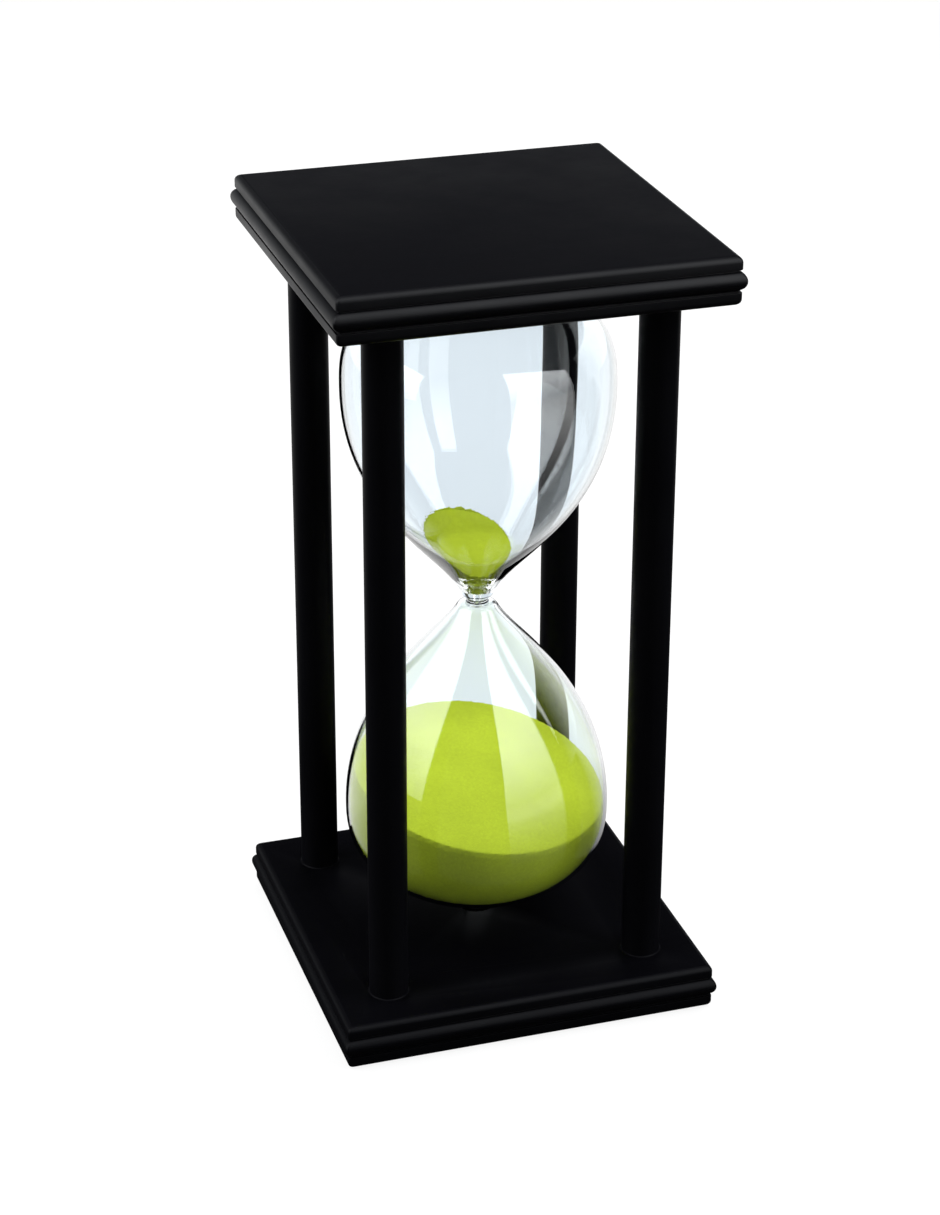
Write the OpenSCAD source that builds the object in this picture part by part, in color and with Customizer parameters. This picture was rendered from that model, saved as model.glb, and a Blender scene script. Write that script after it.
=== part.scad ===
// Hourglass: two square moulded plates, four round posts and a blown glass with sand.
// Stands on the bottom plate, +Z up, origin at the centre of the underside, millimetres.

/* [Frame] */
// Height over both plates
frame_h = 205; // [180:1:250]
// Width and depth of a plate over its beads
plate_w = 100; // [92:1:130]
// Thickness of a plate
plate_t = 12; // [11:0.5:18]
// Roundness of a plate's upright corners
corner_r = 0.8; // [0.4:0.1:3]

/* [Moulded edge] */
// Height of the half-round bead that runs around the edge
bead_h = 5; // [3:0.25:7]
// How far the bead stands out from the layers above and below it
bead_reveal = 1.0; // [0.4:0.1:2]
// Width of the groove on each side of the bead
quirk_w = 0.3; // [0.2:0.05:0.8]
// Depth of that groove behind the layer's face
quirk_depth = 0.6; // [0.2:0.1:1.5]
// Rounding of the outer edges of the top and bottom faces
round_r = 1.5; // [0.5:0.1:3]

/* [Posts] */
// Diameter of a post
post_d = 10; // [8:0.5:13]
// Distance from a post's axis to the widest line of the plate
post_inset = 15.75; // [12:0.25:20]
// Depth of the blind bore that a post is glued into
post_sink = 8; // [4:0.5:9]
// Radial gap for the glue
glue_gap = 0.05; // [0.02:0.01:0.2]

/* [Glass] */
// Outer diameter of a bulb at its belly
bulb_d = 69; // [60:0.5:76]
// Height from a bulb's belly to the crown of its dome
dome_h = 24; // [18:0.5:32]
// Squareness of the dome, where 2 is an ellipse
dome_power = 2.4; // [2:0.1:3]
// Gap between a dome's crown and the plate
dome_gap = 7.7; // [4:0.1:14]
// Thickness of the glass at the belly
glass_t = 0.8; // [0.8:0.1:2.5]
// How far the neck lies above the middle of the frame
neck_rise = 0; // [-3:0.1:3]
// Outer diameter of the neck
neck_d = 5.2; // [4:0.1:12]
// Radius of the hollow that leads from the neck into the upper bulb
waist_r = 1; // [0.6:0.1:6]
// Angle at which the upper bulb leaves that hollow, from the axis
flank_angle = 28; // [15:1:40]
// Radius of the hollow that leads from the neck into the lower bulb
notch_r = 0.6; // [0.4:0.1:2]
// Radius of the lower bulb's round shoulder
shoulder_r = 3; // [2.5:0.1:6]
// Angle at which the lower flank leaves the shoulder, from the axis
shoulder_angle = 30; // [25:1:45]
// Thickness of the glass at the shoulder
shoulder_t = 1; // [0.8:0.1:2]
// Diameter of the hole in the neck
orifice_d = 1.2; // [0.8:0.1:2.5]
// How far that hole reaches over the neck
throat_h = 2.2; // [1:0.1:4]
// How far it reaches under the neck
throat_drop = 1.5; // [1:0.1:4]
// Angle at which the inside leaves the hole, from the axis
funnel_angle = 36; // [20:1:45]

/* [Seats] */
// Diameter of the glass stub at each end
stub_d = 9; // [7:0.5:14]
// Depth of the round recess in each plate that takes the stub
seat_depth = 6; // [4:0.5:8]
// Radial clearance of the stub in its recess
seat_clear = 0.4; // [0.3:0.1:1]
// Thickness of the felt pad at the bottom of the recess
pad_t = 2; // [1:0.25:3]
// Radial clearance of the felt pad in the recess
pad_clear = 0.1; // [0.05:0.05:0.5]
// Diameter of the filling hole through the upper stub
fill_d = 5; // [3:0.5:6]
// Radial clearance of the stopper in the filling hole
stopper_clear = 0.05; // [0.02:0.01:0.2]

/* [Sand] */
// Gap between the sand and the glass
sand_gap = 0.15; // [0.1:0.05:0.5]
// Height of the lower sand over the ground, on the axis
lower_level = 51.5; // [40:0.1:62]
// Slope of the lower sand's surface
lower_tilt = 12; // [0:1:25]
// Compass direction in which the lower sand falls away, from +X
lower_fall = -58; // [-180:1:180]
// Depth of the upper sand over the neck, on the axis
upper_depth = 12.7; // [8:0.1:30]
// Slope of the upper sand's surface
upper_tilt = 20; // [0:1:25]
// Compass direction in which the upper sand falls away, from +X
upper_fall = -72; // [-180:1:180]

/* [Hidden] */
$fn = 96;

lacquer = "#151316";
clear_glass = [0.86, 0.93, 0.95, 0.35];
lime_sand = "#b4d432";
felt_grey = "#2b2b2d";
rubber_black = "#1d1d1e";

// Steps along the curves of the glass's outline
waist_steps = 4;
flank_steps = 14;
dome_steps = 12;
shoulder_steps = 5;
// Angle from the axis at which the shoulder starts
shoulder_start = 85;
// Lengths of the Bezier handles, at the neck's end and at the belly
upper_outside_reach = [14, 32];
upper_inside_reach = [12, 32];
lower_reach = [10, 31];
// Extra length that makes a cut break through a face
over = 1;

bore_floor = plate_t - post_sink;
seat_floor = plate_t - seat_depth;
stub_end = seat_floor + pad_t;
seat_d = stub_d + 2 * seat_clear;
post_at = plate_w / 2 - post_inset;
layer_w = plate_w - 2 * bead_reveal;
layer_h = plate_t / 2 - bead_h / 2 - quirk_w;
layer_round = min(round_r, 0.8 * layer_h);
neck_z = frame_h / 2 + neck_rise;
crown_z = plate_t + dome_gap;
lower_bulb_h = neck_z - crown_z;
upper_bulb_h = frame_h - crown_z - neck_z;

// ---- plates ----

// One layer of the edge, standing on y = 0, with its two upper corners rounded
module layer_section() {
    difference() {
        translate([-layer_w / 2, 0]) square([layer_w, layer_h]);
        for (side = [0, 1]) mirror([side, 0])
            translate([layer_w / 2 - layer_round, layer_h - layer_round])
                difference() {
                    square(layer_round + over);
                    circle(r = layer_round);
                }
    }
}

// Upright section through a plate, centred on its mid-plane
module plate_section() {
    square([layer_w - 2 * quirk_depth, plate_t - 2 * layer_h], center = true);
    square([plate_w - bead_h, bead_h], center = true);
    for (side = [-1, 1])
        translate([side * (plate_w - bead_h) / 2, 0]) circle(d = bead_h);
    for (face = [0, 1]) mirror([0, face])
        translate([0, plate_t / 2 - layer_h]) layer_section();
}

// Plan of a plate with eased corners
module plate_plan() {
    inner = plate_w - 2 * corner_r;
    square([plate_w, inner], center = true);
    square([inner, plate_w], center = true);
    for (x = [-1, 1], y = [-1, 1])
        translate([x * inner / 2, y * inner / 2]) circle(r = corner_r);
}

// The moulded edge runs round all four sides and meets in mitres at the corners
module moulded_board() {
    intersection() {
        rotate([90, 0, 0])
            linear_extrude(plate_w, center = true) plate_section();
        rotate([90, 0, 90])
            linear_extrude(plate_w, center = true) plate_section();
        linear_extrude(plate_t, center = true) plate_plan();
    }
}

// A plate lying on z = 0 with its bores opening upwards
module plate() {
    difference() {
        translate([0, 0, plate_t / 2]) moulded_board();
        for (x = [-1, 1], y = [-1, 1])
            translate([x * post_at, y * post_at, bore_floor])
                cylinder(h = post_sink + over, d = post_d + 2 * glue_gap);
        translate([0, 0, seat_floor])
            cylinder(h = seat_depth + over, d = seat_d);
    }
}

module bottom_plate() {
    color(lacquer) plate();
}

module top_plate() {
    color(lacquer) translate([0, 0, frame_h]) mirror([0, 0, 1]) plate();
}

// ---- posts ----

module post(x, y) {
    color(lacquer) translate([x * post_at, y * post_at, bore_floor])
        cylinder(h = frame_h - 2 * bore_floor, d = post_d);
}

module post_front_left() { post(-1, -1); }
module post_front_right() { post(1, -1); }
module post_back_left() { post(-1, 1); }
module post_back_right() { post(1, 1); }

// ---- glass ----
// Outlines are lists of [radius, height over the neck] for one bulb.

function bezier(p, t) =
    pow(1 - t, 3) * p[0] + 3 * pow(1 - t, 2) * t * p[1]
    + 3 * (1 - t) * t * t * p[2] + pow(t, 3) * p[3];

// Curve from a start point near the neck, leaving at an angle, up to the belly
function flank(start, angle, reach, belly) =
    let (p = [start, start + reach[0] * [sin(angle), cos(angle)],
              belly - [0, reach[1]], belly])
    [for (i = [0 : flank_steps]) bezier(p, i / flank_steps)];

// Rounded dome from just past the belly to the crown on the axis
function dome(belly, rise) =
    [for (i = [1 : dome_steps]) let (a = 90 * i / dome_steps)
        i == dome_steps ? [0, belly[1] + rise]
        : [belly[0] * pow(cos(a), 2 / dome_power),
           belly[1] + rise * pow(sin(a), 2 / dome_power)]];

// Hollow fillet that leaves the neck, without its last point
function fillet(radius, angle) =
    [for (i = [0 : waist_steps - 1]) let (a = angle * i / waist_steps)
        [neck_d / 2 + radius * (1 - cos(a)), radius * sin(a)]];

function fillet_end(radius, angle) =
    [neck_d / 2 + radius * (1 - cos(angle)), radius * sin(angle)];

// A point of the lower bulb's shoulder, at a radius from its centre
function on_shoulder(radius, angle) =
    fillet_end(notch_r, shoulder_start)
    + shoulder_r * [-cos(shoulder_start), sin(shoulder_start)]
    + radius * [cos(angle), -sin(angle)];

// The shoulder without its last point
function shoulder(radius) =
    [for (i = [0 : shoulder_steps - 1])
        on_shoulder(radius, shoulder_start
            + (shoulder_angle - shoulder_start) * i / shoulder_steps)];

function belly(bulb_h, inset) = [bulb_d / 2 - inset, bulb_h - dome_h];

function upper_outside() =
    concat(fillet(waist_r, flank_angle),
           flank(fillet_end(waist_r, flank_angle), flank_angle,
                 upper_outside_reach, belly(upper_bulb_h, 0)),
           dome(belly(upper_bulb_h, 0), dome_h));

function lower_outside() =
    concat(fillet(notch_r, shoulder_start), shoulder(shoulder_r),
           flank(on_shoulder(shoulder_r, shoulder_angle), shoulder_angle,
                 lower_reach, belly(lower_bulb_h, 0)),
           dome(belly(lower_bulb_h, 0), dome_h));

// The hollows, drawn in by inset, from where they widen at the ends of the hole
function upper_hollow(inset) =
    let (in = glass_t + inset)
    concat(flank([orifice_d / 2, throat_h + inset], funnel_angle,
                 upper_inside_reach, belly(upper_bulb_h, in)),
           dome(belly(upper_bulb_h, in), dome_h - in));

function lower_hollow(inset) =
    let (in = glass_t + inset, radius = shoulder_r - shoulder_t - inset)
    concat([[orifice_d / 2, throat_drop + inset]], shoulder(radius),
           flank(on_shoulder(radius, shoulder_angle), shoulder_angle,
                 lower_reach, belly(lower_bulb_h, in)),
           dome(belly(lower_bulb_h, in), dome_h - in));

module bulb(outline) {
    rotate_extrude()
        polygon(concat([[0, outline[0][1]]], outline));
}

module glass_outside() {
    translate([0, 0, neck_z]) {
        bulb(upper_outside());
        mirror([0, 0, 1]) bulb(lower_outside());
    }
    translate([0, 0, stub_end])
        cylinder(h = crown_z + glass_t / 2 - stub_end, d = stub_d);
    translate([0, 0, frame_h - crown_z - glass_t / 2])
        cylinder(h = crown_z + glass_t / 2 - stub_end, d = stub_d);
}

module glass_hollow() {
    translate([0, 0, neck_z]) {
        bulb(upper_hollow(0));
        mirror([0, 0, 1]) bulb(lower_hollow(0));
        translate([0, 0, -throat_drop - over / 2])
            cylinder(h = throat_drop + throat_h + over, d = orifice_d);
    }
    translate([0, 0, frame_h - crown_z - glass_t - over])
        cylinder(h = crown_z + glass_t + over, d = fill_d);
}

module glass() {
    color(clear_glass) difference() {
        glass_outside();
        glass_hollow();
    }
}

// Rubber plug that fills the hole through the upper stub
module stopper() {
    color(rubber_black)
        translate([0, 0, frame_h - crown_z - glass_t])
            cylinder(h = crown_z + glass_t - stub_end, d = fill_d - 2 * stopper_clear);
}

// ---- felt pads ----

module pad() {
    cylinder(h = pad_t, d = seat_d - 2 * pad_clear);
}

module lower_pad() {
    color(felt_grey) translate([0, 0, seat_floor]) pad();
}

module upper_pad() {
    color(felt_grey) translate([0, 0, frame_h - seat_floor - pad_t]) pad();
}

// ---- sand ----

// Everything under a sloping surface at a height on the axis
module under_slope(level, tilt, fall) {
    translate([0, 0, level]) rotate([0, tilt, fall])
        translate([-bulb_d, -bulb_d, -frame_h])
            cube([2 * bulb_d, 2 * bulb_d, frame_h]);
}

module lower_sand() {
    color(lime_sand) intersection() {
        translate([0, 0, neck_z]) mirror([0, 0, 1])
            bulb(lower_hollow(sand_gap));
        under_slope(lower_level, lower_tilt, lower_fall);
    }
}

module upper_sand() {
    color(lime_sand) intersection() {
        translate([0, 0, neck_z])
            bulb(upper_hollow(sand_gap));
        under_slope(neck_z + upper_depth, upper_tilt, upper_fall);
    }
}

bottom_plate();
top_plate();
post_front_left();
post_front_right();
post_back_left();
post_back_right();
glass();
stopper();
lower_pad();
upper_pad();
lower_sand();
upper_sand();
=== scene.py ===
"""Hourglass: a black lacquered frame around a blown glass with lime sand.

Every piece takes its place from the CAD frame and rides on its body. The glass, its
stopper and the sand turn together between the felt pads.
"""

import math

import bpy
from mathutils import Matrix, Vector


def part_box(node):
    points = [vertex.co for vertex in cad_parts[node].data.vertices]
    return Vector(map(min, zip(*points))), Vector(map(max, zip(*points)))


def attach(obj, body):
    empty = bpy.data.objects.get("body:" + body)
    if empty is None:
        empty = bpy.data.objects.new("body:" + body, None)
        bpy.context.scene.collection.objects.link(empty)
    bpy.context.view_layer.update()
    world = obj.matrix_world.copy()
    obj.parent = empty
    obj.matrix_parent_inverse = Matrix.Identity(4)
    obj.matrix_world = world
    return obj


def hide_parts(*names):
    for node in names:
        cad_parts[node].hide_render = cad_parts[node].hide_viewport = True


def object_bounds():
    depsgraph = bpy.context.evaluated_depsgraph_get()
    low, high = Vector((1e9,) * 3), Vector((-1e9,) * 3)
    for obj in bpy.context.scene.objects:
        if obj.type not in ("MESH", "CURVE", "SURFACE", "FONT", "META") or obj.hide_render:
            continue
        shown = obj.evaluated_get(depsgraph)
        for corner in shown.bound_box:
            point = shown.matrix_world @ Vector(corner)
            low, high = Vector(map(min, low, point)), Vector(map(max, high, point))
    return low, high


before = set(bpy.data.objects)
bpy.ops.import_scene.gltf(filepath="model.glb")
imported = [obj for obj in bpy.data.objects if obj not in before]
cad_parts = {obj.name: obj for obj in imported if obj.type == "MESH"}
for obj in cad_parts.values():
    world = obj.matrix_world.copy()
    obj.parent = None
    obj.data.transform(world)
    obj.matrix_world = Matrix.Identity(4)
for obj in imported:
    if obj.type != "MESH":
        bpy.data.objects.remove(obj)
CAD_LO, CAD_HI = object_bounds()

bl_info = {
    "name": "Hourglass",
    "version": (1, 0, 0),
    "blender": (4, 5, 0),
    "location": "View3D > Sidebar > Hourglass",
    "description": "Builds a desk hourglass piece by piece around its CAD frame",
    "category": "Add Mesh",
}

MM = 0.001
POSTS = ("post_front_left", "post_front_right", "post_back_left", "post_back_right")
# a bulb's flank keeps its first slope for a reach and is upright for a hold
UPPER_REACH, UPPER_HOLLOW_REACH, UPPER_HOLD = 13 * MM, 12 * MM, 33 * MM
LOWER_REACH, LOWER_HOLD = 10 * MM, 31 * MM
FLANK_STEPS, DOME_STEPS = 40, 34
# the fillet between a stub and its bulb: how far it reaches out, and how high
STUB_FILLET, STUB_LIFT = 1.6 * MM, 1.4 * MM
# compass directions are in degrees from the front, rising to the right
LEFT_SCREEN = (-125, -53)
RIGHT_SCREEN = (8, 75)
# each soft box's name, compass direction and power in watts
KEYS = (("left_key", -105, 7.9), ("right_key", 75, 9.7), ("back_key", 165, 7.9))
KEY_SIZE, KEY_ELEVATION, KEY_DISTANCE, KEY_AIM = (0.8, 0.6), 46, 1.0, 0.1
# the room's white, and the level of the soft light around the object
ROOM_WHITE, AROUND = "#F2F5F8", 0.4
CAMERA_SHIFT = (-0.0060, -0.0243)


def node_size(name):
    """Width, depth and height of a CAD node, in metres."""
    lo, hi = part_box(name)
    return hi - lo


def linear(code, alpha=1.0):
    """An sRGB hex colour as linear values."""
    parts = [int(code[i : i + 2], 16) / 255 for i in (1, 3, 5)]
    return tuple(
        c / 12.92 if c <= 0.04045 else ((c + 0.055) / 1.055) ** 2.4 for c in parts
    ) + (alpha,)


def length(name, description, default, soft_max=0.3):
    """A length property in metres."""
    return bpy.props.FloatProperty(
        name=name, description=description, default=default, min=0.0,
        soft_max=soft_max, precision=5, subtype="DISTANCE", unit="LENGTH",
    )


def tone(name, description, code):
    """A colour property that starts from an sRGB hex value."""
    return bpy.props.FloatVectorProperty(
        name=name, description=description, default=linear(code), size=4,
        min=0.0, max=1.0, subtype="COLOR",
    )


def angle(name, description, degrees):
    """An angle property that starts from a value in degrees."""
    return bpy.props.FloatProperty(
        name=name, description=description, default=math.radians(degrees),
        subtype="ANGLE", unit="ROTATION",
    )


# ---- what a user can change ----


class HourglassBoards(bpy.types.PropertyGroup):
    """Both moulded boards, which share one form."""

    width: length("Width", "Width and depth over the beads", node_size("top_plate").x)
    thickness: length("Thickness", "Thickness of a board", node_size("top_plate").z)
    bead: length("Bead", "Height of the half-round bead", 5 * MM)
    reveal: length("Reveal", "How far the bead stands out from the layers", 1 * MM)
    quirk: length("Quirk width", "Width of the groove on each side of the bead", 0.3 * MM)
    quirk_depth: length("Quirk depth", "Depth of that groove", 0.6 * MM)
    rounding: length("Rounding", "Radius of the outer edges of both faces", 1.5 * MM)
    corner: length("Corner radius", "Roundness of the upright corners", 0.8 * MM)
    arris: length("Arris", "Width of the lacquer-softened sharp edges", 0.12 * MM)
    bore_depth: length("Post bore depth", "Depth of the blind bores", 8 * MM)
    seat_depth: length("Seat depth", "Depth of the recess that takes the glass", 6 * MM)
    seat: length("Seat diameter", "Diameter of that recess", 9.8 * MM)
    lacquer: tone("Lacquer", "Colour of the black lacquer", "#050507")


class HourglassPosts(bpy.types.PropertyGroup):
    """The four dowels."""

    diameter: length("Diameter", "Diameter of a dowel", node_size(POSTS[0]).x)
    fillet: length("Lacquer fillet", "Lacquer that gathers where a dowel enters a board", 0.35 * MM)


class HourglassGlass(bpy.types.PropertyGroup):
    """The glass, its neck and its stubs."""

    belly: length("Belly diameter", "Outer diameter of a bulb", node_size("glass").x)
    wall: length("Wall", "Thickness of the glass at the belly", 0.8 * MM)
    dome: length("Dome height", "Height from a belly to its crown", 24 * MM)
    dome_power: bpy.props.FloatProperty(
        name="Dome squareness", description="Squareness of the dome, where 2 is an ellipse",
        default=2.4, min=1.5, max=4.0,
    )
    upper_power: bpy.props.FloatProperty(
        name="Upper squareness", description="Squareness of the upper bulb's dome",
        default=2.75, min=1.5, max=4.0,
    )
    crown_gap: length("Crown gap", "Gap between a crown and its board", 7.7 * MM)
    neck_rise: length("Neck rise", "Height of the neck over the middle", 0 * MM)
    neck: length("Neck diameter", "Outer diameter of the neck", 5.2 * MM)
    notch: length("Notch radius", "Radius of the hollows that lead out of the neck", 0.6 * MM)
    collar: length("Collar radius", "Radius of the upper bulb's shoulder", 2 * MM)
    collar_end: angle("Collar end", "Slope at which the upper flank starts", 22)
    shoulder: length("Shoulder radius", "Radius of the lower bulb's shoulder", 3 * MM)
    shoulder_end: angle("Shoulder end", "Slope at which the lower flank starts", 30)
    shoulder_wall: length("Shoulder wall", "Thickness of the glass there", 1 * MM)
    orifice: length("Orifice", "Diameter of the hole in the neck", 1.2 * MM)
    throat: length("Throat", "Height of that hole over the neck", 2.7 * MM)
    throat_drop: length("Throat drop", "Depth of that hole under the neck", 1.5 * MM)
    tip: length("Tip radius", "Radius of the blunt end of the upper hollow", 2.2 * MM)
    funnel: angle("Funnel angle", "Slope of the inside over that end", 27)
    stub: length("Stub diameter", "Diameter of the glass stubs", 9 * MM)
    fill_hole: length("Filling hole", "Diameter of the hole in the upper stub", 5 * MM)
    tint: tone("Tint", "Colour of the glass", "#FBFEFF")


class HourglassSand(bpy.types.PropertyGroup):
    """Both heaps, which slope as the sand settled."""

    gap: length("Gap", "Gap between the sand and the glass", 0.05 * MM)
    lower_level: length("Lower level", "Height of the lower sand on the axis", 51.9 * MM)
    lower_tilt: angle("Lower slope", "Slope of the lower sand", 12)
    lower_fall: angle("Lower fall", "Compass direction the lower sand falls in", -58)
    upper_depth: length("Upper depth", "Depth of the upper sand over the neck", 12.9 * MM)
    upper_tilt: angle("Upper slope", "Slope of the upper sand", 20)
    upper_fall: angle("Upper fall", "Compass direction the upper sand falls in", -72)
    voxel: length("Voxel", "Fineness of the heaps' surface", 0.5 * MM)
    grain: length("Grain", "Height of the grains", 0.06 * MM)
    colour: tone("Sand", "Colour of the dyed sand", "#BED035")


class HourglassStage(bpy.types.PropertyGroup):
    """The camera."""

    lens: bpy.props.FloatProperty(
        name="Lens", description="Focal length", default=87.15, subtype="DISTANCE_CAMERA"
    )
    distance: length("Distance", "Camera to its target", 750.3 * MM, 5)
    azimuth: angle("Azimuth", "Direction the camera looks from", -17.78)
    elevation: angle("Elevation", "Height of the camera over the horizon", 24.93)
    roll: angle("Roll", "Turn of the camera about its own axis", 0.25)
    aim: length("Aim height", "Height of the camera's target", 108.06 * MM)


GROUPS = {
    "boards": HourglassBoards, "posts": HourglassPosts, "glass": HourglassGlass,
    "sand": HourglassSand, "stage": HourglassStage,
}


class HourglassSettings(bpy.types.PropertyGroup):
    """All the groups, as the scene holds them."""

    __annotations__ = {
        name: bpy.props.PointerProperty(type=group, name=name.title())
        for name, group in GROUPS.items()
    }


# ---- modelling helpers ----


def start():
    """Leaves edit mode and deselects everything."""
    if bpy.context.object and bpy.context.object.mode != "OBJECT":
        bpy.ops.object.mode_set(mode="OBJECT")
    bpy.ops.object.select_all(action="DESELECT")


def pick(obj):
    """Makes an object the only selected one."""
    start()
    obj.select_set(True)
    bpy.context.view_layer.objects.active = obj


def edit(mode="VERT"):
    """Enters edit mode with everything selected."""
    bpy.ops.object.mode_set(mode="EDIT")
    bpy.ops.mesh.select_mode(type=mode)
    bpy.ops.mesh.select_all(action="SELECT")


def finish_mesh(name, degrees=35):
    """Names the active object, bakes its place into its mesh and smooths it."""
    obj = bpy.context.object
    if obj.mode != "OBJECT":
        bpy.ops.object.mode_set(mode="OBJECT")
    obj.name = obj.data.name = name
    bpy.ops.object.transform_apply(location=True, rotation=True, scale=True)
    bpy.ops.object.shade_smooth_by_angle(angle=math.radians(degrees))
    if not len(obj.data.polygons):
        raise RuntimeError(f"{name} has no faces")
    return obj


def modify(obj, kind, **settings):
    """Adds a modifier and applies it."""
    pick(obj)
    mod = obj.modifiers.new(kind.title(), kind)
    for key, value in settings.items():
        setattr(mod, key, value)
    bpy.ops.object.modifier_apply(modifier=mod.name)


def tidy_normals():
    """Merges doubles and turns faces outwards, in edit mode."""
    bpy.ops.mesh.select_all(action="SELECT")
    bpy.ops.mesh.remove_doubles(threshold=1e-6)
    bpy.ops.mesh.normals_make_consistent(inside=False)


def turned(name, outline, steps, degrees=35):
    """A piece turned about +Z from an outline of (radius, height)."""
    start()
    bpy.ops.mesh.primitive_plane_add(size=MM)
    edit()
    bpy.ops.mesh.merge(type="CENTER")
    here = Vector((0, 0, 0))
    for i, (r, z) in enumerate(outline):
        point = Vector((r, 0, z))
        if i:
            bpy.ops.mesh.extrude_region_move(
                TRANSFORM_OT_translate={"value": point - here}
            )
        else:
            bpy.ops.transform.translate(value=point)
        here = point
    bpy.ops.mesh.select_all(action="SELECT")
    bpy.ops.mesh.spin(steps=steps, angle=math.tau, center=(0, 0, 0), axis=(0, 0, 1))
    tidy_normals()
    return finish_mesh(name, degrees)


def copy_of(obj, name, matrix):
    """A copy with its own mesh, carried by a matrix."""
    twin = obj.copy()
    twin.data = obj.data.copy()
    bpy.context.collection.objects.link(twin)
    pick(twin)
    twin.matrix_world = matrix
    flipped = matrix.determinant() < 0
    bpy.ops.object.transform_apply(location=True, rotation=True, scale=True)
    if flipped:
        edit("FACE")
        bpy.ops.mesh.normals_make_consistent(inside=False)
    return finish_mesh(name)


def settle(obj, body, slot, *nodes):
    """The piece rides on a body and stands for its CAD nodes, which it hides. Its slot is not used.
    """
    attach(obj, body)
    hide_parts(*nodes)


def arc(centre, radius, start_deg, end_deg, steps):
    """Points on an arc, both ends included."""
    out = []
    for i in range(steps + 1):
        a = math.radians(start_deg + (end_deg - start_deg) * i / steps)
        out.append((centre[0] + radius * math.cos(a), centre[1] + radius * math.sin(a)))
    return out


def middle(name):
    """The middle of a CAD node."""
    lo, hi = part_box(name)
    return (lo + hi) / 2


# ---- materials ----


def add_node(tree, kind, inputs=(), **settings):
    """Adds a node with its settings. Inputs are values or links, in order or by name."""
    made = tree.nodes.new(f"ShaderNode{kind}")
    for key, value in settings.items():
        setattr(made, key, value)
    for key, value in inputs.items() if isinstance(inputs, dict) else enumerate(inputs):
        if isinstance(value, bpy.types.NodeSocket):
            tree.links.new(value, made.inputs[key])
        else:
            made.inputs[key].default_value = value
    return made


def new_material(name):
    """An empty material: itself, its tree, its Surface socket and its coordinates."""
    mat = bpy.data.materials.new(name)
    mat.use_nodes = True
    tree = mat.node_tree
    tree.nodes.clear()
    end = tree.nodes.new("ShaderNodeOutputMaterial").inputs["Surface"]
    return mat, tree, end, add_node(tree, "TexCoord").outputs["Object"]


def coat(obj, mat):
    """Puts one material on a piece."""
    obj.data.materials.clear()
    obj.data.materials.append(mat)


def lacquered_wood(name, colour, grain, sheen, routed=None):
    """Beech, moulded or turned, filled and sprayed with a satin black lacquer.

    The lacquer hides the wood's colour and leaves its open grain as long shallow
    lines, over the slight orange peel of spraying. Each piece gets its own sheen as
    painted light: a higher sheen where it should look lit and a lower one where it
    should look shaded. A routed edge, given as its half-width and its own sheen, gets
    a stronger sheen than the flat face inside it, as a painted highlight.
    """
    mat, tree, end, place = new_material(name)
    # grain lines about 0.5 mm apart and 30 mm long, along the piece
    lines = add_node(
        tree, "Mapping",
        {"Vector": place, "Scale": tuple(33 if i == grain else 1400 for i in range(3))},
    ).outputs[0]
    pores = add_node(
        tree, "TexNoise", {"Vector": lines, "Scale": 1.0, "Detail": 3.0, "Roughness": 0.6}
    ).outputs[0]
    # orange peel, 1.2 mm across
    peel = add_node(tree, "TexNoise", {"Vector": place, "Scale": 800.0, "Detail": 2.0}).outputs[0]
    # handling marks, 25 mm across
    marks = add_node(
        tree, "TexNoise", {"Vector": place, "Scale": 40.0, "Detail": 4.0, "Roughness": 0.55}
    ).outputs[0]
    dark, pale = (tuple(c * k for c in colour[:3]) + (1,) for k in (0.8, 1.25))
    shade = add_node(tree, "Mix", {0: pores, 6: dark, 7: pale}, data_type="RGBA").outputs[2]
    grooves = add_node(
        tree, "Bump", {"Height": pores, "Strength": 0.12, "Distance": 0.1 * MM}
    ).outputs[0]
    relief = add_node(
        tree, "Bump",
        {"Height": peel, "Normal": grooves, "Strength": 0.06, "Distance": 0.1 * MM},
    ).outputs[0]
    # painted highlight: past the routed edge's half-width the sheen rises to the edge's own,
    # stronger sheen
    if routed:
        part = add_node(tree, "SeparateXYZ", [place]).outputs
        x, y = (add_node(tree, "Math", [part[i]], operation="ABSOLUTE").outputs[0] for i in (0, 1))
        out = add_node(tree, "Math", (x, y), operation="MAXIMUM").outputs[0]
        inner, edge_highlight_sheen = routed
        sheen = add_node(
            tree, "MapRange", (out, inner, inner + 0.3 * MM, sheen, edge_highlight_sheen)
        ).outputs[0]
    body = add_node(
        tree, "BsdfPrincipled",
        {"Base Color": shade, "Normal": relief, "IOR": 1.5, "Specular IOR Level": sheen,
         "Roughness": add_node(tree, "MapRange", (marks, 0.3, 0.7, 0.38, 0.50)).outputs[0]},
    )
    tree.links.new(body.outputs[0], end)
    return mat


def blown_glass(tint):
    """Soda-lime glass, lamp-blown from tube: fire-polished and clear, a little cool."""
    mat, tree, end, place = new_material("blown_soda_lime_glass")
    # slow waves left by blowing, 30 mm across
    wave = add_node(tree, "TexNoise", {"Vector": place, "Scale": 33.0, "Detail": 1.0}).outputs[0]
    relief = add_node(tree, "Bump", {"Height": wave, "Strength": 0.05, "Distance": 1 * MM})
    body = add_node(
        tree, "BsdfPrincipled",
        {"Base Color": tint, "Roughness": 0.0, "Normal": relief.outputs[0],
         "Transmission Weight": 1.0, "IOR": 1.52},
    ).outputs[0]
    # lamps shine on the sand straight through the thin walls
    clear = add_node(tree, "BsdfTransparent", [(0.93, 0.94, 0.945, 1)]).outputs[0]
    shadow = add_node(tree, "LightPath").outputs["Is Shadow Ray"]
    tree.links.new(add_node(tree, "MixShader", (shadow, body, clear)).outputs[0], end)
    return mat


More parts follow.
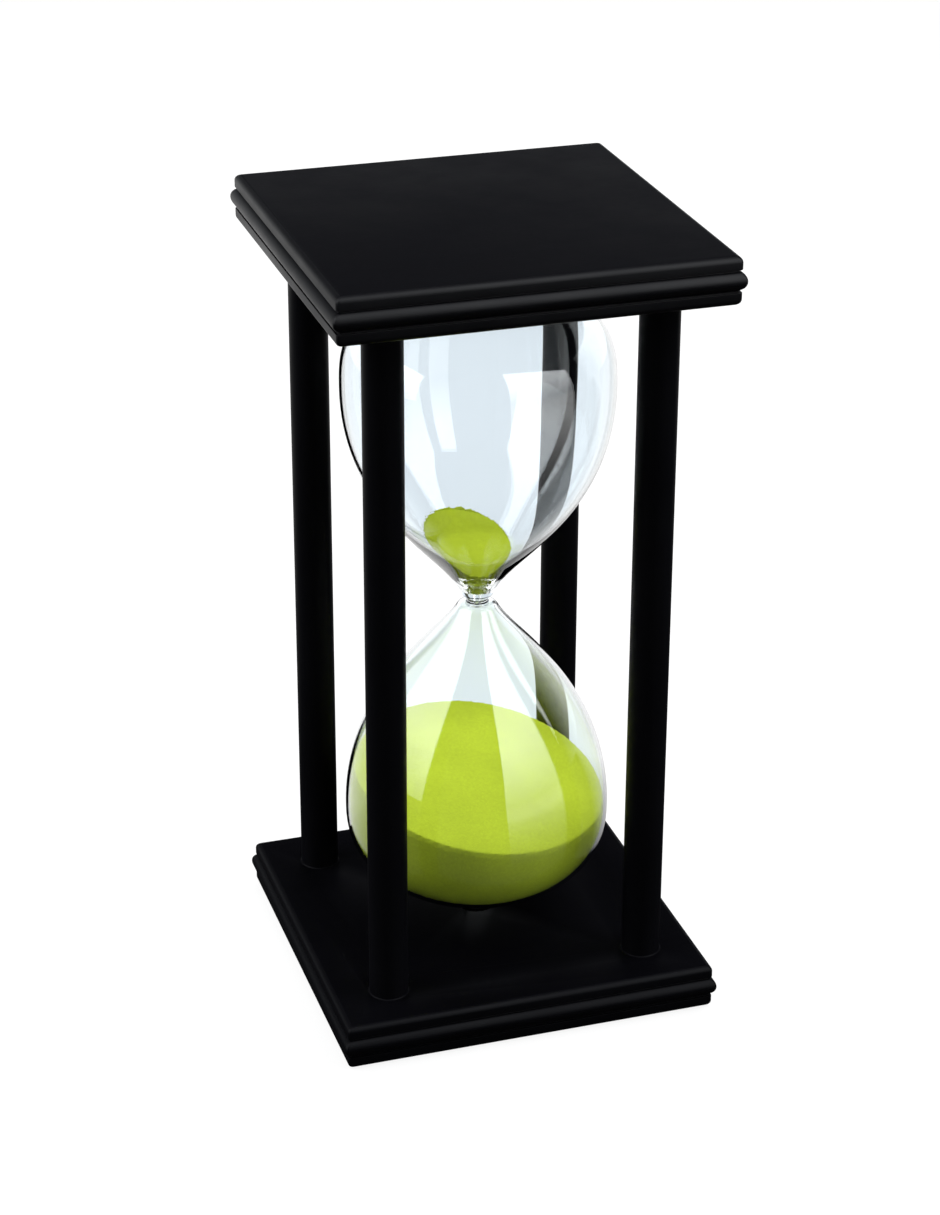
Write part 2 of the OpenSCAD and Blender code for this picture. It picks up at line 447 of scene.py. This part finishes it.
def dyed_sand(colour):
    """Quartz sand, washed, sieved and dyed: matt grains that differ a little in shade."""
    mat, tree, end, place = new_material("dyed_quartz_sand")
    # grains of 0.25 mm, drawn at 0.45 mm so that they show
    cells = add_node(tree, "TexVoronoi", {"Vector": place, "Scale": 2200.0}).outputs
    grains = add_node(tree, "MapRange", (cells["Color"], 0, 1, 0.93, 1.07)).outputs[0]
    # paler and darker drifts, 11 mm across
    drifts = add_node(tree, "TexNoise", {"Vector": place, "Scale": 90.0, "Detail": 4.0}).outputs[0]
    drifts = add_node(tree, "MapRange", (drifts, 0.3, 0.7, 0.93, 1.05)).outputs[0]
    value = add_node(tree, "Math", (grains, drifts), operation="MULTIPLY").outputs[0]
    shade = add_node(
        tree, "HueSaturation", {"Color": colour, "Hue": 0.5, "Saturation": 1.0, "Value": value}
    ).outputs[0]
    relief = add_node(
        tree, "Bump", {"Height": cells["Distance"], "Strength": 0.2, "Distance": 0.2 * MM},
        invert=True,
    ).outputs[0]
    body = add_node(
        tree, "BsdfPrincipled",
        {"Base Color": shade, "Roughness": 0.9, "Normal": relief,
         "IOR": 1.54, "Specular IOR Level": 0.3},
    )
    tree.links.new(body.outputs[0], end)
    return mat


def pressed_felt():
    """Grey wool felt, pressed and punched: soft, with short matted fibres."""
    mat, tree, end, place = new_material("pressed_wool_felt")
    # fibres 0.4 mm across
    fibres = add_node(
        tree, "TexNoise",
        {"Vector": place, "Scale": 2500.0, "Detail": 5.0, "Roughness": 0.7, "Distortion": 1.5},
    ).outputs[0]
    shade = add_node(tree, "ValToRGB", [fibres])
    shade.color_ramp.elements[0].color = linear("#202022")
    shade.color_ramp.elements[1].color = linear("#3A3A3D")
    relief = add_node(
        tree, "Bump", {"Height": fibres, "Strength": 0.5, "Distance": 0.2 * MM}
    ).outputs[0]
    body = add_node(
        tree, "BsdfPrincipled",
        {"Base Color": shade.outputs[0], "Roughness": 0.95, "Normal": relief,
         "Sheen Weight": 0.3, "Sheen Roughness": 0.5},
    )
    tree.links.new(body.outputs[0], end)
    return mat


def moulded_rubber():
    """Black rubber, moulded: matt, with a faint bloom."""
    mat, tree, end, place = new_material("moulded_black_rubber")
    # bloom in patches of 1.4 mm
    bloom = add_node(tree, "TexNoise", {"Vector": place, "Scale": 700.0, "Detail": 3.0}).outputs[0]
    shade = add_node(tree, "ValToRGB", [bloom])
    shade.color_ramp.elements[0].color = linear("#141415")
    shade.color_ramp.elements[1].color = linear("#232324")
    rough = add_node(tree, "MapRange", (bloom, 0, 1, 0.6, 0.8)).outputs[0]
    body = add_node(
        tree, "BsdfPrincipled", {"Base Color": shade.outputs[0], "Roughness": rough}
    )
    tree.links.new(body.outputs[0], end)
    return mat


# ---- boards ----


def board_edge(s):
    """Half-widths and heights up the moulded edge of a board, from z 0."""
    half, mid, r = s.width / 2, s.thickness / 2, s.rounding
    face = half - s.reveal
    layer = mid - s.bead / 2 - s.quirk
    wall = face - s.quirk_depth
    centre = half - s.bead / 2
    # the bead leaves the quirk's wall where its circle crosses it
    meet = math.degrees(math.acos((wall - centre) / (s.bead / 2)))
    lower = arc((face - r, r), r, -90, 0, 6) + [(face, layer), (wall, layer)]
    bead = arc((centre, mid), s.bead / 2, -meet, meet, 14)
    upper = [(w, s.thickness - z) for w, z in reversed(lower)]
    return lower + bead + upper


def board(s, bores):
    """One board standing on z 0. Each bore is an x, a y, a diameter and a floor."""
    start()
    edge = board_edge(s)
    bpy.ops.mesh.primitive_plane_add(size=2 * edge[0][0])
    edit()
    bpy.ops.mesh.bevel(offset=s.corner, segments=4, affect="VERTICES")
    bpy.ops.mesh.select_all(action="SELECT")
    width, height = edge[0]
    for w, z in edge[1:]:
        bpy.ops.mesh.extrude_region_move(
            TRANSFORM_OT_translate={"value": (0, 0, z - height)}
        )
        bpy.ops.transform.resize(value=(w / width, w / width, 1))
        width, height = w, z
    tidy_normals()
    obj = finish_mesh("bottom_board")
    for x, y, d, floor in bores:
        start()
        bpy.ops.mesh.primitive_cylinder_add(
            vertices=96, radius=d / 2, depth=s.thickness,
            location=(x, y, floor + s.thickness / 2),
        )
        cutter = bpy.context.object
        modify(obj, "BOOLEAN", operation="DIFFERENCE", solver="EXACT", object=cutter)
        bpy.data.objects.remove(cutter)
    modify(
        obj, "BEVEL", width=s.arris, segments=2, limit_method="ANGLE",
        angle_limit=math.radians(40), harden_normals=False,
    )
    pick(obj)
    return finish_mesh("bottom_board", 40)


class HOURGLASS_OT_boards(bpy.types.Operator):
    """Models both moulded boards with their bores"""

    bl_idname = "hourglass.boards"
    bl_label = "Boards"

    def execute(self, context):
        s = context.scene.hourglass.boards
        bores = []
        for name in POSTS:
            c, d = middle(name), node_size(name).x + 0.1 * MM
            bores.append((c.x, c.y, d, s.thickness - s.bore_depth))
        bores.append((0, 0, s.seat, s.thickness - s.seat_depth))
        lower = board(s, bores)
        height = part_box("top_plate")[1].z
        upper = copy_of(
            lower, "top_board",
            Matrix.Translation((0, 0, height)) @ Matrix.Diagonal((1, 1, -1, 1)),
        )
        routed = s.width / 2 - s.reveal - s.rounding
        # painted light: the top board gets the higher sheen, the bottom board a lower one as
        # painted shade, and each routed edge a stronger sheen as a painted highlight
        for obj, cad, flat, edge in (
            (lower, "bottom_plate", 0.008, 0.05), (upper, "top_plate", 0.025, 0.15)
        ):
            name = f"black_lacquered_beech_{obj.name}"
            coat(obj, lacquered_wood(name, s.lacquer, 0, flat, (routed, edge)))
            settle(obj, "frame", "lacquered_wood", cad)
        return {"FINISHED"}


# ---- posts ----


class HOURGLASS_OT_posts(bpy.types.Operator):
    """Models the four lacquered dowels"""

    bl_idname = "hourglass.posts"
    bl_label = "Posts"

    def execute(self, context):
        settings = context.scene.hourglass
        s, b = settings.posts, settings.boards
        low, r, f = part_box(POSTS[0])[0].z, s.diameter / 2, s.fillet
        foot, head, end = b.thickness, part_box("top_plate")[0].z, 0.5 * MM
        # up to the board's face, where the lacquer's fillet stands on it
        lower = [(0, low), (r - end, low), (r, low + end), (r, foot - 0.02 * MM), (r + f, foot)]
        lower += arc((r + f, foot + f), f, -90, -180, 4)
        shaft = [(r, foot + (head - foot) * k / 8) for k in range(1, 8)]
        upper = [(w, foot + head - z) for w, z in reversed(lower)]
        # the dowels' sheen, set between the two boards', is painted light as well
        mat = lacquered_wood("black_lacquered_beech_dowel", b.lacquer, 2, 0.04)
        first = turned("post", lower + shaft + upper, 72, 50)
        for name in POSTS:
            c = middle(name)
            place = Matrix.Translation((c.x, c.y, 0))
            piece = copy_of(first, name.replace("post", "dowel"), place)
            coat(piece, mat)
            settle(piece, "frame", "lacquered_wood", name)
        bpy.data.objects.remove(first)
        return {"FINISHED"}


# ---- glass ----


def bezier(p, t):
    """A point on a cubic Bezier curve."""
    k = 1 - t
    return tuple(
        k**3 * p[0][i] + 3 * k * k * t * p[1][i] + 3 * k * t * t * p[2][i] + t**3 * p[3][i]
        for i in (0, 1)
    )


def flank(first, slope, reach, belly, hold):
    """The side of a bulb, from near the neck to just short of the belly."""
    p = [
        first,
        (first[0] + reach * math.sin(slope), first[1] + reach * math.cos(slope)),
        (belly[0], belly[1] - hold),
        belly,
    ]
    return [bezier(p, i / FLANK_STEPS) for i in range(FLANK_STEPS + 1)]


def dome(belly, height, power):
    """The rounded end of a bulb, from past the belly towards the axis."""
    out = []
    for i in range(1, DOME_STEPS + 1):
        a = math.radians(90 * i / DOME_STEPS)
        out.append((
            belly[0] * max(math.cos(a), 0) ** (2 / power),
            belly[1] + height * math.sin(a) ** (2 / power),
        ))
    return out


def notch(g, slope, steps=6):
    """The hollow corner that leaves the neck, up to a slope."""
    return [
        (g.neck / 2 + g.notch * (1 - math.cos(a)), g.notch * math.sin(a))
        for a in (slope * i / steps for i in range(steps + 1))
    ]


def shoulder(g, first, size, last, radius, steps=10):
    """A bulb's round shoulder by the neck, at a radius from its centre."""
    x, z = notch(g, first)[-1]
    x, z = x - size * math.cos(first), z + size * math.sin(first)
    return [
        (x + radius * math.cos(a), z - radius * math.sin(a))
        for a in (first + (last - first) * i / steps for i in range(steps + 1))
    ]


def upper_outline(g, inset=None):
    """Outline over the neck: outside without an inset, else the hollow drawn in by it."""
    height = bulb_heights(g)[1]
    wall = 0 if inset is None else g.wall + inset
    belly = (g.belly / 2 - wall, height - g.dome)
    if inset is None:
        turn = math.radians(70)
        near = notch(g, turn)[:-1] + shoulder(g, turn, g.collar, g.collar_end, g.collar)
        slope, reach = g.collar_end, UPPER_REACH
    else:
        low = g.throat + inset
        near = [(g.orifice / 2, low), (g.tip - inset, low + 0.2 * MM)]
        slope, reach = g.funnel, UPPER_HOLLOW_REACH
    side = flank(near[-1], slope, reach, belly, UPPER_HOLD)
    return near[:-1] + side + dome(belly, g.dome - wall, g.upper_power)


def lower_outline(g, inset=None):
    """The same under the neck, with heights measured downwards."""
    height = bulb_heights(g)[0]
    wall = 0 if inset is None else g.wall + inset
    belly = (g.belly / 2 - wall, height - g.dome)
    turn = math.radians(85)
    if inset is None:
        near, radius = notch(g, turn)[:-1], g.shoulder
    else:
        near = [(g.orifice / 2, g.throat_drop + inset)]
        radius = g.shoulder - g.shoulder_wall - inset
    near += shoulder(g, turn, g.shoulder, g.shoulder_end, radius)
    side = flank(near[-1], g.shoulder_end, LOWER_REACH, belly, LOWER_HOLD)
    return near[:-1] + side + dome(belly, g.dome - wall, g.dome_power)


def neck_height(g):
    """Height of the neck over the underside."""
    return CAD_HI.z / 2 + g.neck_rise


def bulb_heights(g):
    """Heights of the lower and the upper bulb, from the neck to the crown."""
    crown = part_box("bottom_plate")[1].z + g.crown_gap
    neck = neck_height(g)
    return neck - crown, CAD_HI.z - crown - neck


def join_stub(outline, radius, steps=6):
    """Cuts a dome's outline where a stub meets it, and rounds the corner."""
    kept = [p for p in outline if p[0] > radius + STUB_FILLET or p[1] < outline[-1][1] * 0.5]
    height = kept[-1][1]
    curve = [
        kept[-1], (radius + STUB_FILLET * 0.35, height), (radius, height + STUB_LIFT * 0.3),
        (radius, height + STUB_LIFT),
    ]
    return kept + [bezier(curve, i / steps) for i in range(1, steps + 1)]


class HOURGLASS_OT_glass(bpy.types.Operator):
    """Blows the glass: both bulbs, the neck, the stubs and the hollow"""

    bl_idname = "hourglass.glass"
    bl_label = "Glass"

    def execute(self, context):
        g = context.scene.hourglass.glass
        lo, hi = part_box("glass")
        neck = neck_height(g)
        stub, bore, polish = g.stub / 2, g.fill_hole / 2, 0.5 * MM
        hole_rim, hole_ease = 0.3 * MM, 0.15 * MM
        inside_low = lower_outline(g, 0)
        # the hollow's roof stops short of the filling hole
        inside_up = [p for p in upper_outline(g, 0) if p[0] > bore + 0.6 * MM or p[1] < 40 * MM]
        roof = neck + inside_up[-1][1]
        # up the outside, then down the hollow from the filling hole
        outline = [(0, lo.z)] + arc((stub - polish, lo.z + polish), polish, -90, 0, 4)
        outline += [(r, neck - h) for r, h in reversed(join_stub(lower_outline(g), stub))]
        outline += [(r, neck + h) for r, h in join_stub(upper_outline(g), stub)[1:]]
        outline += arc((stub - polish, hi.z - polish), polish, 0, 90, 4)
        outline += [(bore + hole_rim, hi.z), (bore, hi.z - hole_rim)]
        outline += [(bore, roof + 0.5 * MM), (bore + hole_ease, roof + hole_ease)]
        outline += [(r, neck + h) for r, h in reversed(inside_up)]
        outline += [(g.orifice / 2, neck)]
        outline += [(r, neck - h) for r, h in inside_low[:-1]]
        outline += [(0, neck - inside_low[-1][1])]
        obj = turned("blown_glass", outline, 160, 50)
        coat(obj, blown_glass(g.tint))
        settle(obj, "vessel", "clear_glass", "glass")
        return {"FINISHED"}


# ---- sand ----


def heap(name, outline, level, tilt, fall, voxel, grain):
    """Sand that fills an outline up to a sloping surface, with drifts and grains."""
    obj = turned(name, outline, 96)
    edit()
    normal = Vector(
        (math.sin(tilt) * math.cos(fall), math.sin(tilt) * math.sin(fall), math.cos(tilt))
    )
    bpy.ops.mesh.bisect(
        plane_co=(0, 0, level), plane_no=normal, use_fill=True, clear_outer=True
    )
    tidy_normals()
    bpy.ops.object.mode_set(mode="OBJECT")
    modify(obj, "REMESH", mode="VOXEL", voxel_size=voxel)
    # long low drifts over the slope, and grains all round
    top = obj.vertex_groups.new(name="top")
    for v in obj.data.vertices:
        depth = (Vector((0, 0, level)) - v.co).dot(normal)
        if depth < 2 * voxel:
            top.add([v.index], 1.0, "ADD")
    for label, size, height, group in (
        ("drift", 9 * MM, 6 * grain, "top"), ("grain", 0.5 * MM, grain, ""),
    ):
        tex = bpy.data.textures.new(f"{name}_{label}", "CLOUDS")
        tex.noise_scale = size
        tex.noise_depth = 1
        modify(
            obj, "DISPLACE", texture=tex, texture_coords="LOCAL", strength=height,
            mid_level=1.0, vertex_group=group,
        )
        bpy.data.textures.remove(tex)
    obj.vertex_groups.clear()
    pick(obj)
    return finish_mesh(name, 180)


class HOURGLASS_OT_sand(bpy.types.Operator):
    """Pours the sand into both bulbs"""

    bl_idname = "hourglass.sand"
    bl_label = "Sand"

    def execute(self, context):
        settings = context.scene.hourglass
        g, s = settings.glass, settings.sand
        neck = neck_height(g)
        mat = dyed_sand(s.colour)
        # each heap starts from the part of its bulb that sand can reach
        low = [(r, neck - h) for r, h in reversed(lower_outline(g, s.gap)) if h > 30 * MM]
        low[0] = (0, low[0][1])
        low.append((0, low[-1][1]))
        up = [(r, neck + h) for r, h in upper_outline(g, s.gap) if h < 45 * MM]
        up = [(0, up[0][1])] + up + [(0, up[-1][1])]
        lower = heap(
            "lower_heap", low, s.lower_level, s.lower_tilt, s.lower_fall, s.voxel, s.grain
        )
        upper = heap(
            "upper_heap", up, neck + s.upper_depth, s.upper_tilt, s.upper_fall,
            s.voxel * 0.6, s.grain,
        )
        for obj, cad in ((lower, "lower_sand"), (upper, "upper_sand")):
            coat(obj, mat)
            settle(obj, "vessel", "lime_sand", cad)
        return {"FINISHED"}


# ---- pads and stopper ----


class HOURGLASS_OT_seats(bpy.types.Operator):
    """Punches the felt pads and moulds the rubber stopper"""

    bl_idname = "hourglass.seats"
    bl_label = "Pads and stopper"

    def execute(self, context):
        felt = pressed_felt()
        for cad, face in (("lower_pad", 1), ("upper_pad", -1)):
            lo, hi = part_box(cad)
            r, t, soft = (hi.x - lo.x) / 2, hi.z - lo.z, 0.35 * MM
            outline = [(0, 0)] + arc((r - soft, soft), soft, -90, 0, 4)
            outline += arc((r - soft, t - soft), soft, 0, 90, 4) + [(r * 0.5, t), (0, t)]
            placed = [(w, lo.z + z if face > 0 else hi.z - z) for w, z in outline]
            pad = turned(cad.replace("pad", "felt"), placed, 64)
            coat(pad, felt)
            settle(pad, "frame", "seat_felt", cad)
        lo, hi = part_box("stopper")
        r, ease = (hi.x - lo.x) / 2, 0.3 * MM
        outline = (
            [(0, lo.z)] + arc((r * 0.94 - ease, lo.z + ease), ease, -90, 0, 3)
            + arc((r - ease, hi.z - ease), ease, 0, 90, 3) + [(0, hi.z)]
        )
        plug = turned("rubber_plug", outline, 48)
        coat(plug, moulded_rubber())
        settle(plug, "vessel", "stopper_rubber", "stopper")
        return {"FINISHED"}


# ---- stage ----


def way_out(turn, elevation):
    """The way out from the object, at a compass direction and an elevation."""
    return Vector((
        math.sin(turn) * math.cos(elevation), -math.cos(turn) * math.cos(elevation),
        math.sin(elevation),
    ))


def soft_box(name, turn, power):
    """A rectangular soft box that lights the object and hides from its gloss."""
    data = bpy.data.lights.new(name, "AREA")
    data.shape = "RECTANGLE"
    data.size, data.size_y = KEY_SIZE
    data.energy = power
    obj = bpy.data.objects.new(name, data)
    bpy.context.collection.objects.link(obj)
    out = KEY_DISTANCE * way_out(math.radians(turn), math.radians(KEY_ELEVATION))
    obj.location = Vector((0, 0, KEY_AIM)) + out
    obj.rotation_euler = (-out).to_track_quat("-Z", "Y").to_euler()
    obj.visible_camera = obj.visible_glossy = obj.visible_transmission = False


def in_screen(tree, along, screen):
    """1 where a vector points at a screen."""
    flat = add_node(tree, "SeparateXYZ", [along]).outputs
    front = add_node(tree, "Math", (flat["Y"], -1.0), operation="MULTIPLY").outputs[0]
    turn = add_node(tree, "Math", (flat["X"], front), operation="ARCTAN2").outputs[0]
    past, short = (
        add_node(tree, "Math", (turn, math.radians(edge)), operation=test).outputs[0]
        for edge, test in zip(screen, ("GREATER_THAN", "LESS_THAN"))
    )
    return add_node(tree, "Math", (past, short), operation="MULTIPLY").outputs[0]


def first_sight(tree):
    """1 for what is seen straight or through clear glass, 0 for light on its way round."""
    path = add_node(tree, "LightPath").outputs
    through, turns = (
        add_node(tree, "Math", (path[first], path[second]), operation=kind).outputs[0]
        for kind, first, second in (
            ("MAXIMUM", "Is Camera Ray", "Is Transmission Ray"),
            ("ADD", "Diffuse Depth", "Glossy Depth"),
        )
    )
    straight = add_node(tree, "Math", (turns, 0.5), operation="LESS_THAN").outputs[0]
    return add_node(tree, "Math", (through, straight), operation="MULTIPLY").outputs[0]


def unscattered(tree, gloss):
    """A gloss that counts only for light that no matt surface has scattered."""
    scatters = add_node(tree, "LightPath").outputs["Diffuse Depth"]
    clean = add_node(tree, "Math", (scatters, 0.5), operation="LESS_THAN").outputs[0]
    return add_node(tree, "Math", (gloss, clean), operation="MULTIPLY").outputs[0]


def backdrop(tree):
    """White, and a little cooler and darker where it is seen through the glass."""
    through = add_node(tree, "LightPath").outputs["Is Transmission Ray"]
    return add_node(
        tree, "Mix", {0: through, 6: (1, 1, 1, 1), 7: (0.75, 0.82, 0.89, 1)}, data_type="RGBA"
    ).outputs[2]


def studio_world():
    """White behind the object, soft light around it, and the room that its gloss shows.

    The room has two tall white screens that glow more towards the top, with an opening
    between them for the camera. Its ceiling and its low back wall show in the satin
    lacquer alone.
    """
    world = bpy.data.worlds.new("studio")
    bpy.context.scene.world = world
    world.use_nodes = True
    tree = world.node_tree
    tree.nodes.clear()
    end = tree.nodes.new("ShaderNodeOutputWorld").inputs["Surface"]
    path = add_node(tree, "LightPath").outputs
    way = add_node(tree, "TexCoord").outputs["Generated"]
    _, depth, height = add_node(tree, "SeparateXYZ", [way]).outputs
    left, right = (in_screen(tree, way, screen) for screen in (LEFT_SCREEN, RIGHT_SCREEN))
    screens = add_node(tree, "Math", (left, right), operation="ADD").outputs[0]
    # brighter up to 25 degrees over the floor, then even up to 60 degrees
    glow = add_node(tree, "MapRange", (height, 0.0, 0.42, 1.7, 4.5)).outputs[0]
    top = add_node(tree, "Math", (height, 0.87), operation="LESS_THAN").outputs[0]
    # a ceiling over the front, and a low wall at the back
    ceiling = add_node(tree, "MapRange", (height, 0.55, 0.85, 0.03, 3.5)).outputs[0]
    over = add_node(tree, "MapRange", (depth, -0.1, 0.15, 1.0, 0.1)).outputs[0]
    wall = add_node(tree, "MapRange", (height, 0.1, 0.3, 0.8, 0.0)).outputs[0]
    back = add_node(tree, "MapRange", (depth, 0.3, 0.7)).outputs[0]
    glow, ceiling, wall = (
        add_node(tree, "Math", pair, operation="MULTIPLY").outputs[0]
        for pair in ((glow, top), (ceiling, over), (wall, back))
    )
    screens = add_node(tree, "Math", (screens, glow), operation="MULTIPLY").outputs[0]
    in_satin = add_node(tree, "Math", (ceiling, wall), operation="MAXIMUM").outputs[0]
    in_glass = add_node(tree, "MapRange", (depth, -0.2, 0.3, 0.04, 1.7)).outputs[0]
    glass, gloss = (
        add_node(
            tree, "Math", (path[kind], path["Is Transmission Ray"]), operation="MAXIMUM"
        ).outputs[0]
        for kind in ("Is Singular Ray", "Is Glossy Ray")
    )
    level = add_node(
        tree, "Mix", {0: glass, 2: in_satin, 3: in_glass}, data_type="FLOAT"
    ).outputs[0]
    level = add_node(tree, "Math", (level, screens), operation="MAXIMUM").outputs[0]
    around, room, white = (
        add_node(tree, "Background", pair).outputs[0]
        for pair in (
            (linear(ROOM_WHITE), AROUND), (linear(ROOM_WHITE), level), (backdrop(tree), 1.0)
        )
    )
    soft = add_node(tree, "MixShader", (unscattered(tree, gloss), around, room)).outputs[0]
    mix = add_node(tree, "MixShader", (first_sight(tree), soft, white)).outputs[0]
    tree.links.new(mix, end)


def floor_material():
    """Pale seamless paper: white to the eye, with the object's faint shadow.

    In the object's gloss it is white behind the object, shines under the two screens
    and is dark in the opening in front.
    """
    mat, tree, end, place = new_material("pale_seamless_paper")
    paper = add_node(tree, "BsdfDiffuse", [linear("#8C8C8C")]).outputs[0]
    # the eye sees an even glow, and just enough of the paper for the shadow
    faint = add_node(tree, "BsdfDiffuse", [(0.13, 0.13, 0.13, 1)]).outputs[0]
    glow = add_node(tree, "Emission", (backdrop(tree), 0.88)).outputs[0]
    bright = add_node(tree, "AddShader", (faint, glow)).outputs[0]
    path = add_node(tree, "LightPath").outputs
    depth = add_node(tree, "SeparateXYZ", [place]).outputs["Y"]
    away = add_node(tree, "VectorMath", [place], operation="LENGTH").outputs["Value"]
    in_glass = add_node(tree, "MapRange", (depth, 0.0, 0.09, 0.05, 1.0)).outputs[0]
    for screen, reach, most in ((LEFT_SCREEN, 0.6, 0.1), (RIGHT_SCREEN, 0.5, 1.7)):
        shine = add_node(tree, "MapRange", (away, 0.08, reach, 0.0, most)).outputs[0]
        shine = add_node(
            tree, "Math", (in_screen(tree, place, screen), shine), operation="MULTIPLY"
        ).outputs[0]
        in_glass = add_node(tree, "Math", (in_glass, shine), operation="MAXIMUM").outputs[0]
    in_satin = add_node(tree, "MapRange", (depth, 0.1, 0.35, 0.03, 1.0)).outputs[0]
    level = add_node(
        tree, "Mix", {0: path["Is Singular Ray"], 2: in_satin, 3: in_glass}, data_type="FLOAT"
    ).outputs[0]
    shine = add_node(tree, "Emission", ((1, 1, 1, 1), level)).outputs[0]
    gloss = add_node(
        tree, "Math", (path["Glossy Depth"], 0.5), operation="GREATER_THAN"
    ).outputs[0]
    plain = add_node(tree, "MixShader", (unscattered(tree, gloss), paper, shine)).outputs[0]
    mix = add_node(tree, "MixShader", (first_sight(tree), plain, bright)).outputs[0]
    tree.links.new(mix, end)
    return mat


class HOURGLASS_OT_stage(bpy.types.Operator):
    """Sets the floor, the soft boxes, the world and the camera"""

    bl_idname = "hourglass.stage"
    bl_label = "Stage"

    def execute(self, context):
        s = context.scene.hourglass.stage
        start()
        bpy.ops.mesh.primitive_plane_add(size=6)
        paper = context.object
        paper.name = paper.data.name = "floor"
        coat(paper, floor_material())
        studio_world()
        for key in KEYS:
            soft_box(*key)
        data = bpy.data.cameras.new("camera")
        data.lens = s.lens
        data.sensor_width = 36
        data.shift_x, data.shift_y = CAMERA_SHIFT
        data.clip_start, data.clip_end = 0.01, 100
        camera = bpy.data.objects.new("camera", data)
        context.collection.objects.link(camera)
        out = way_out(s.azimuth, s.elevation)
        camera.matrix_world = (
            Matrix.Translation(Vector((0, 0, s.aim)) + out * s.distance)
            @ (-out).to_track_quat("-Z", "Y").to_matrix().to_4x4()
            @ Matrix.Rotation(s.roll, 4, "Z")
        )
        context.scene.camera = camera
        context.scene.view_settings.view_transform = "Standard"
        return {"FINISHED"}


# ---- panel and running ----

OPERATORS = (
    HOURGLASS_OT_boards, HOURGLASS_OT_posts, HOURGLASS_OT_glass,
    HOURGLASS_OT_sand, HOURGLASS_OT_seats, HOURGLASS_OT_stage,
)


class VIEW3D_PT_hourglass(bpy.types.Panel):
    """Lists the hourglass's settings and the tools that build it"""

    bl_idname = "VIEW3D_PT_hourglass"
    bl_label = "Hourglass"
    bl_space_type = "VIEW_3D"
    bl_region_type = "UI"
    bl_category = "Hourglass"

    def draw(self, context):
        for name, group in GROUPS.items():
            box = self.layout.box()
            box.label(text=name.title())
            for prop in group.__annotations__:
                box.prop(getattr(context.scene.hourglass, name), prop)
        for op in OPERATORS:
            self.layout.operator(op.bl_idname)


CLASSES = tuple(GROUPS.values()) + (HourglassSettings,) + OPERATORS + (VIEW3D_PT_hourglass,)


def register():
    """Adds every class and the settings."""
    for cls in CLASSES:
        bpy.utils.register_class(cls)
    bpy.types.Scene.hourglass = bpy.props.PointerProperty(type=HourglassSettings)


def unregister():
    """Takes them away again."""
    del bpy.types.Scene.hourglass
    for cls in reversed(CLASSES):
        bpy.utils.unregister_class(cls)


def main():
    """Builds every piece and the stage."""
    register()
    for op in OPERATORS:
        group, name = op.bl_idname.split(".")
        getattr(getattr(bpy.ops, group), name)()


if __name__ == "__main__":
    main()
